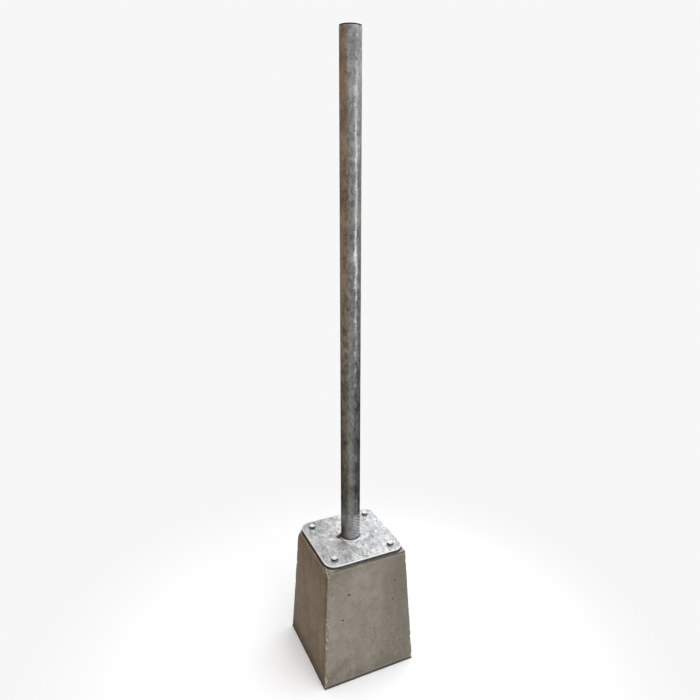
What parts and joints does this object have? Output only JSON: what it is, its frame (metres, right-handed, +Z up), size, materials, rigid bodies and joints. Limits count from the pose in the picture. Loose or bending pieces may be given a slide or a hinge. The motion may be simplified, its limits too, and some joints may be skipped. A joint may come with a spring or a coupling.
{
  "type": "stanchion base",
  "caption": "Free-standing galvanised round post on a square base plate, bolted down to a tapered precast concrete block, to carry a barrier, a sign or a fence.",
  "frame": {"origin": "centre of the concrete block's underside, on the floor", "axes": "+Z up along the post, +Y towards the back, +X to the right as seen from the front"},
  "size_m": [0.3098, 0.3098, 1.9156],
  "materials": {
    "concrete": "matte",
    "galvanised_steel": "satin",
    "zinc_fasteners": "satin",
    "socket_steel": "satin",
    "black_plastic": "satin"
  },
  "bodies": {
    "root": {"concrete_block": "concrete", "base_plate": "galvanised_steel", "post_tube": "galvanised_steel", "foot_weld": "galvanised_steel", "end_cap": "black_plastic", "bolt_front_left": "zinc_fasteners", "washer_front_left": "zinc_fasteners", "socket_front_left": "socket_steel", "cross_pin_front_left": "socket_steel", "bolt_front_right": "zinc_fasteners", "washer_front_right": "zinc_fasteners", "socket_front_right": "socket_steel", "cross_pin_front_right": "socket_steel", "bolt_back_left": "zinc_fasteners", "washer_back_left": "zinc_fasteners", "socket_back_left": "socket_steel", "cross_pin_back_left": "socket_steel", "bolt_back_right": "zinc_fasteners", "washer_back_right": "zinc_fasteners", "socket_back_right": "socket_steel", "cross_pin_back_right": "socket_steel"}
  },
  "joints": []
}
